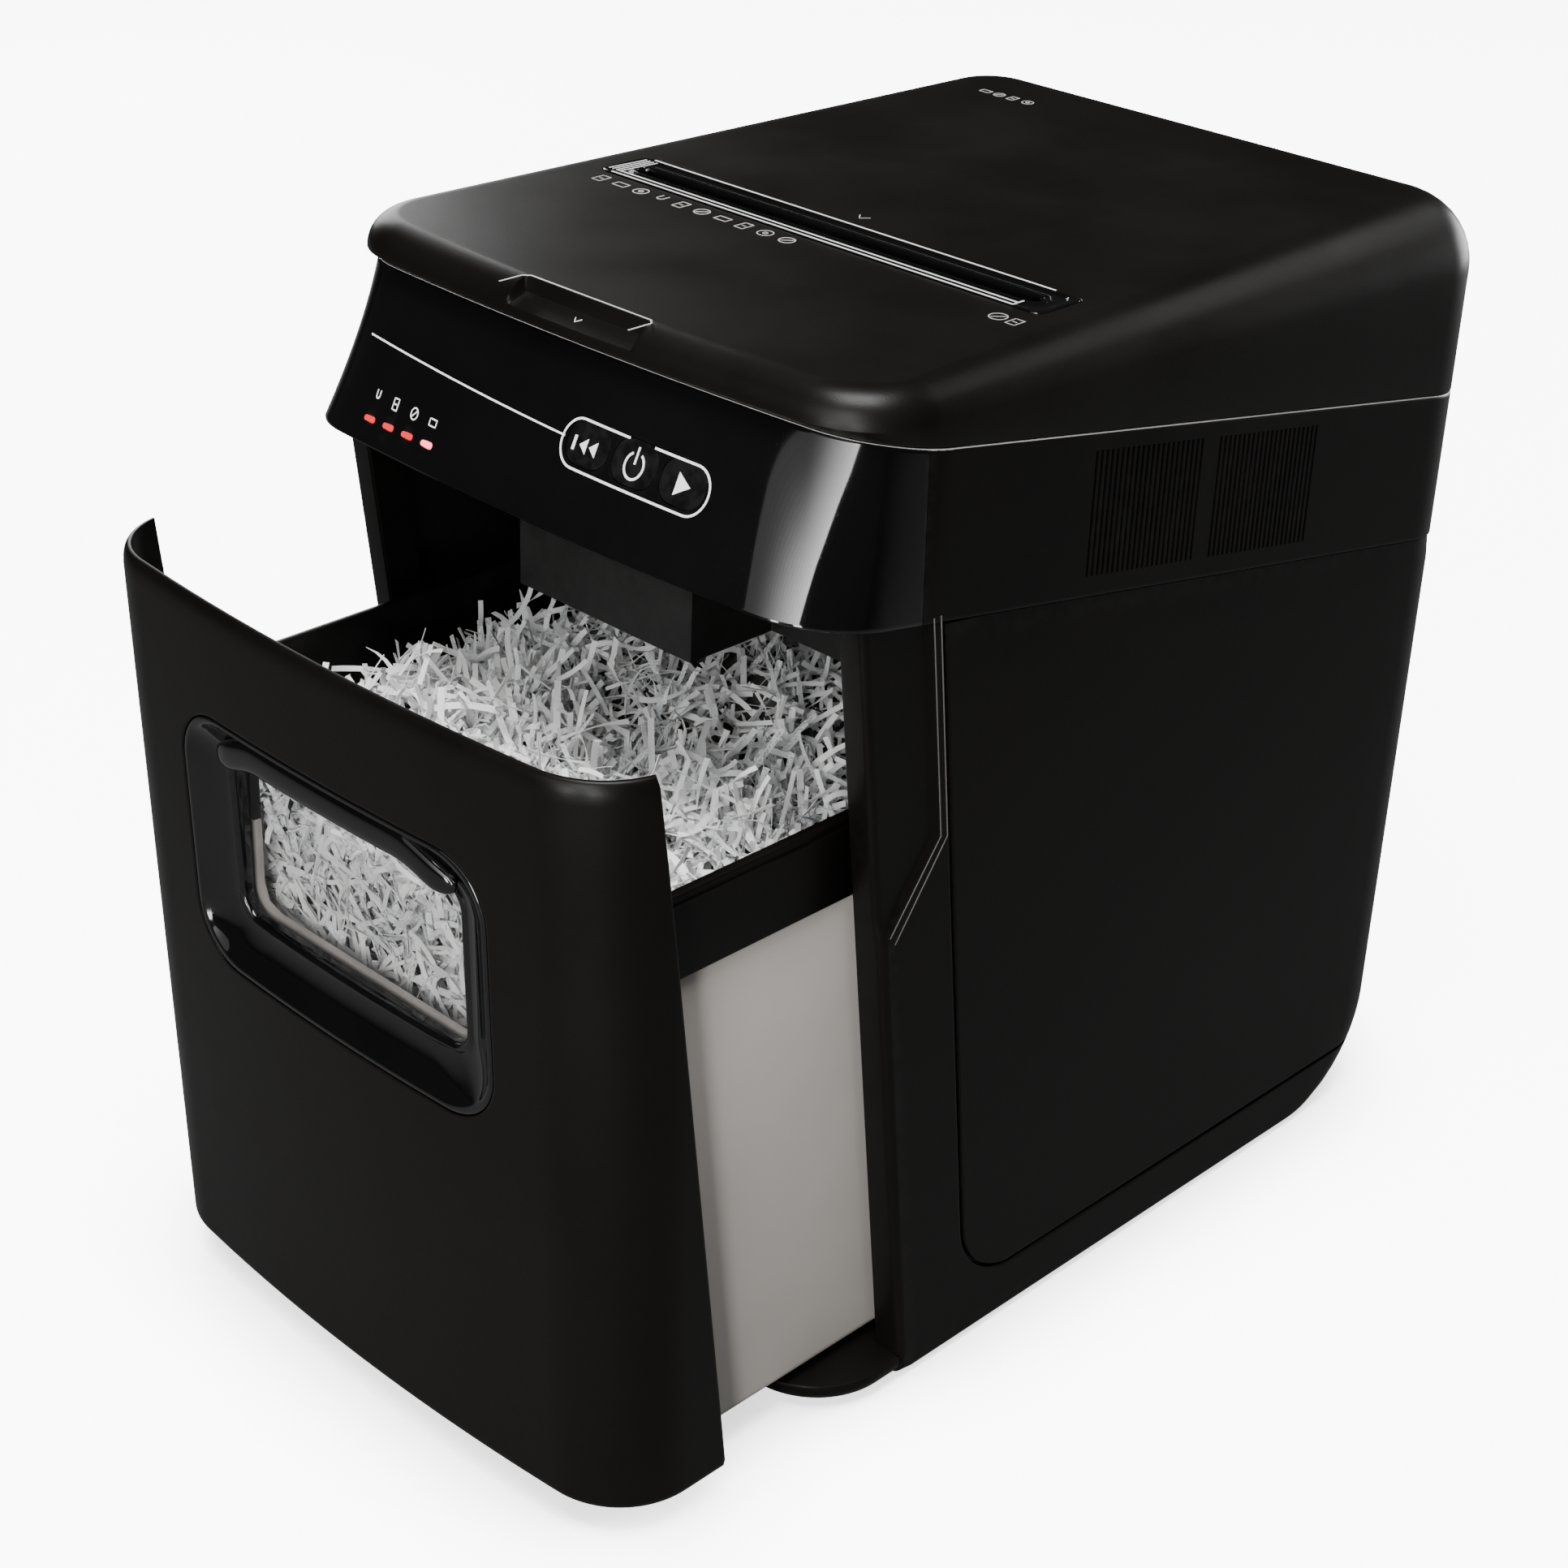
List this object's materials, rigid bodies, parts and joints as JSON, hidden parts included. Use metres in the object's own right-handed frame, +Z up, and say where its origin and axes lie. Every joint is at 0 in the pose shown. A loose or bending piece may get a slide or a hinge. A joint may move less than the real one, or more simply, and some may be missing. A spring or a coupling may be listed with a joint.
{
  "type": "paper shredder",
  "caption": "Auto-feed paper shredder: black cabinet with a leaning gloss control panel, hinged lid with a paper slot, and a pull-out bin with a window, partly open.",
  "frame": {"origin": "on the floor, at the middle of the outline in plan with the bin pulled out as at rest", "axes": "+X to the right seen from the front, +Y to the back, +Z up; the control panel and the bin face -Y"},
  "size_m": [0.33, 0.5982, 0.4906],
  "materials": {
    "satin_black": "satin moulded black plastic with a fine grain",
    "gloss_black": "polished piano-black plastic",
    "inner_black": "plain dull black moulding",
    "bin_grey": "satin silver-grey plastic",
    "clear": "clear plastic window",
    "steel": "plain zinc-plated steel",
    "cutter_steel": "dark hardened steel, lightly oiled",
    "rubber": "black rubber",
    "gear_plastic": "natural nylon",
    "circuit": "green circuit board",
    "lamp_red": "red light pipe, lit",
    "button_black": "black button caps"
  },
  "bodies": {
    "cabinet": {"base_tray": "satin_black", "side_frame_left": "satin_black", "side_panel_left": "satin_black", "side_frame_right": "satin_black", "side_panel_right": "satin_black", "rear_panel": "satin_black", "runner_left": "steel", "runner_right": "steel", "foot_front_left": "rubber", "foot_front_right": "rubber", "foot_rear_left": "rubber", "foot_rear_right": "rubber", "head_shell": "satin_black", "control_panel": "gloss_black", "status_lights": "lamp_red", "main_board": "circuit", "head_floor": "inner_black", "cutter_housing": "inner_black", "chute": "inner_black", "tray_deck": "satin_black", "cutter_plate_left": "steel", "cutter_plate_right": "steel", "tie_rod_front": "steel", "tie_rod_rear": "steel", "motor": "cutter_steel", "switch_housing": "gloss_black", "power_inlet": "inner_black", "hinge_bracket_left": "satin_black", "hinge_bracket_right": "satin_black", "hinge_pin_left": "steel", "hinge_pin_right": "steel"},
    "bin": {"bin_front": "satin_black", "bin_tub": "bin_grey", "bin_rim": "satin_black", "window_bezel": "gloss_black", "window_pane": "clear"},
    "lid": {"lid_shell": "satin_black", "slot_insert": "gloss_black", "lid_hinge_arm_left": "satin_black", "lid_hinge_arm_right": "satin_black"},
    "front_press_plate": {"press_plate_front": "inner_black"},
    "rear_press_plate": {"press_plate_rear": "inner_black"},
    "rear_cutter": {"cutter_rear": "cutter_steel", "cutter_gear_rear": "gear_plastic", "drive_gear": "gear_plastic"},
    "front_cutter": {"cutter_front": "cutter_steel", "cutter_gear_front": "gear_plastic"},
    "front_idler": {"idler_gear_front": "gear_plastic"},
    "rear_idler": {"idler_gear_rear": "gear_plastic"},
    "pinion": {"motor_pinion": "steel"},
    "front_feed": {"feed_shaft_front": "steel", "feed_roller_front_left": "rubber", "feed_roller_front_right": "rubber"},
    "rear_feed": {"feed_shaft_rear": "steel", "feed_roller_rear_left": "rubber", "feed_roller_rear_right": "rubber"},
    "reverse_button": {"button_reverse": "button_black"},
    "power_button": {"button_power": "button_black"},
    "forward_button": {"button_forward": "button_black"},
    "power_switch": {"switch_rocker": "satin_black"}
  },
  "joints": [
    {"name": "bin_slide", "type": "slide", "parent": "cabinet", "child": "bin", "axis": [0, -1, 0], "range_m": [-0.11, 0.19]},
    {"name": "lid_hinge", "type": "hinge", "parent": "cabinet", "child": "lid", "pos_m": [0, 0.29425, 0.3919], "axis": [-1, 0, 0], "range_deg": [0, 95]},
    {"name": "front_press_slide", "type": "slide", "parent": "lid", "child": "front_press_plate", "axis": [0, 0, 1], "range_m": [0, 0.01], "stiffness_N_per_m": 200, "springref_m": -0.006},
    {"name": "rear_press_slide", "type": "slide", "parent": "lid", "child": "rear_press_plate", "axis": [0, 0, 1], "range_m": [0, 0.01], "stiffness_N_per_m": 200, "springref_m": -0.006},
    {"name": "rear_cutter_spin", "type": "hinge", "parent": "cabinet", "child": "rear_cutter", "pos_m": [0, 0.00825, 0.392], "axis": [1, 0, 0], "continuous": true},
    {"name": "front_cutter_spin", "type": "hinge", "parent": "cabinet", "child": "front_cutter", "pos_m": [0, -0.02275, 0.392], "axis": [1, 0, 0], "continuous": true},
    {"name": "front_idler_spin", "type": "hinge", "parent": "cabinet", "child": "front_idler", "pos_m": [0, 0.05475, 0.395], "axis": [1, 0, 0], "continuous": true},
    {"name": "rear_idler_spin", "type": "hinge", "parent": "cabinet", "child": "rear_idler", "pos_m": [0, 0.10615, 0.384], "axis": [1, 0, 0], "continuous": true},
    {"name": "pinion_spin", "type": "hinge", "parent": "cabinet", "child": "pinion", "pos_m": [0, 0.14075, 0.367], "axis": [1, 0, 0], "continuous": true},
    {"name": "front_feed_spin", "type": "hinge", "parent": "cabinet", "child": "front_feed", "pos_m": [0, -0.05525, 0.41986], "axis": [1, 0, 0], "continuous": true},
    {"name": "rear_feed_spin", "type": "hinge", "parent": "cabinet", "child": "rear_feed", "pos_m": [0, 0.04075, 0.40229], "axis": [1, 0, 0], "continuous": true},
    {"name": "reverse_press", "type": "slide", "parent": "cabinet", "child": "reverse_button", "axis": [0, 0.8993, -0.4374], "range_m": [0, 0.0008], "stiffness_N_per_m": 900, "springref_m": -0.0005},
    {"name": "power_press", "type": "slide", "parent": "cabinet", "child": "power_button", "axis": [0, 0.8993, -0.4374], "range_m": [0, 0.0008], "stiffness_N_per_m": 900, "springref_m": -0.0005},
    {"name": "forward_press", "type": "slide", "parent": "cabinet", "child": "forward_button", "axis": [0, 0.8993, -0.4374], "range_m": [0, 0.0008], "stiffness_N_per_m": 900, "springref_m": -0.0005},
    {"name": "power_switch_rock", "type": "hinge", "parent": "cabinet", "child": "power_switch", "pos_m": [0.072, 0.28475, 0.372], "axis": [1, 0, 0], "range_deg": [-7, 7]}
  ],
  "couplings": [
    {"joint": "front_cutter_spin", "follows": "rear_cutter_spin", "ratio": -1},
    {"joint": "front_idler_spin", "follows": "rear_cutter_spin", "ratio": -0.76923},
    {"joint": "rear_idler_spin", "follows": "rear_cutter_spin", "ratio": 0.76923},
    {"joint": "pinion_spin", "follows": "rear_cutter_spin", "ratio": -1.6667},
    {"joint": "front_feed_spin", "follows": "rear_cutter_spin", "ratio": -0.5},
    {"joint": "rear_feed_spin", "follows": "rear_cutter_spin", "ratio": 0.5}
  ]
}
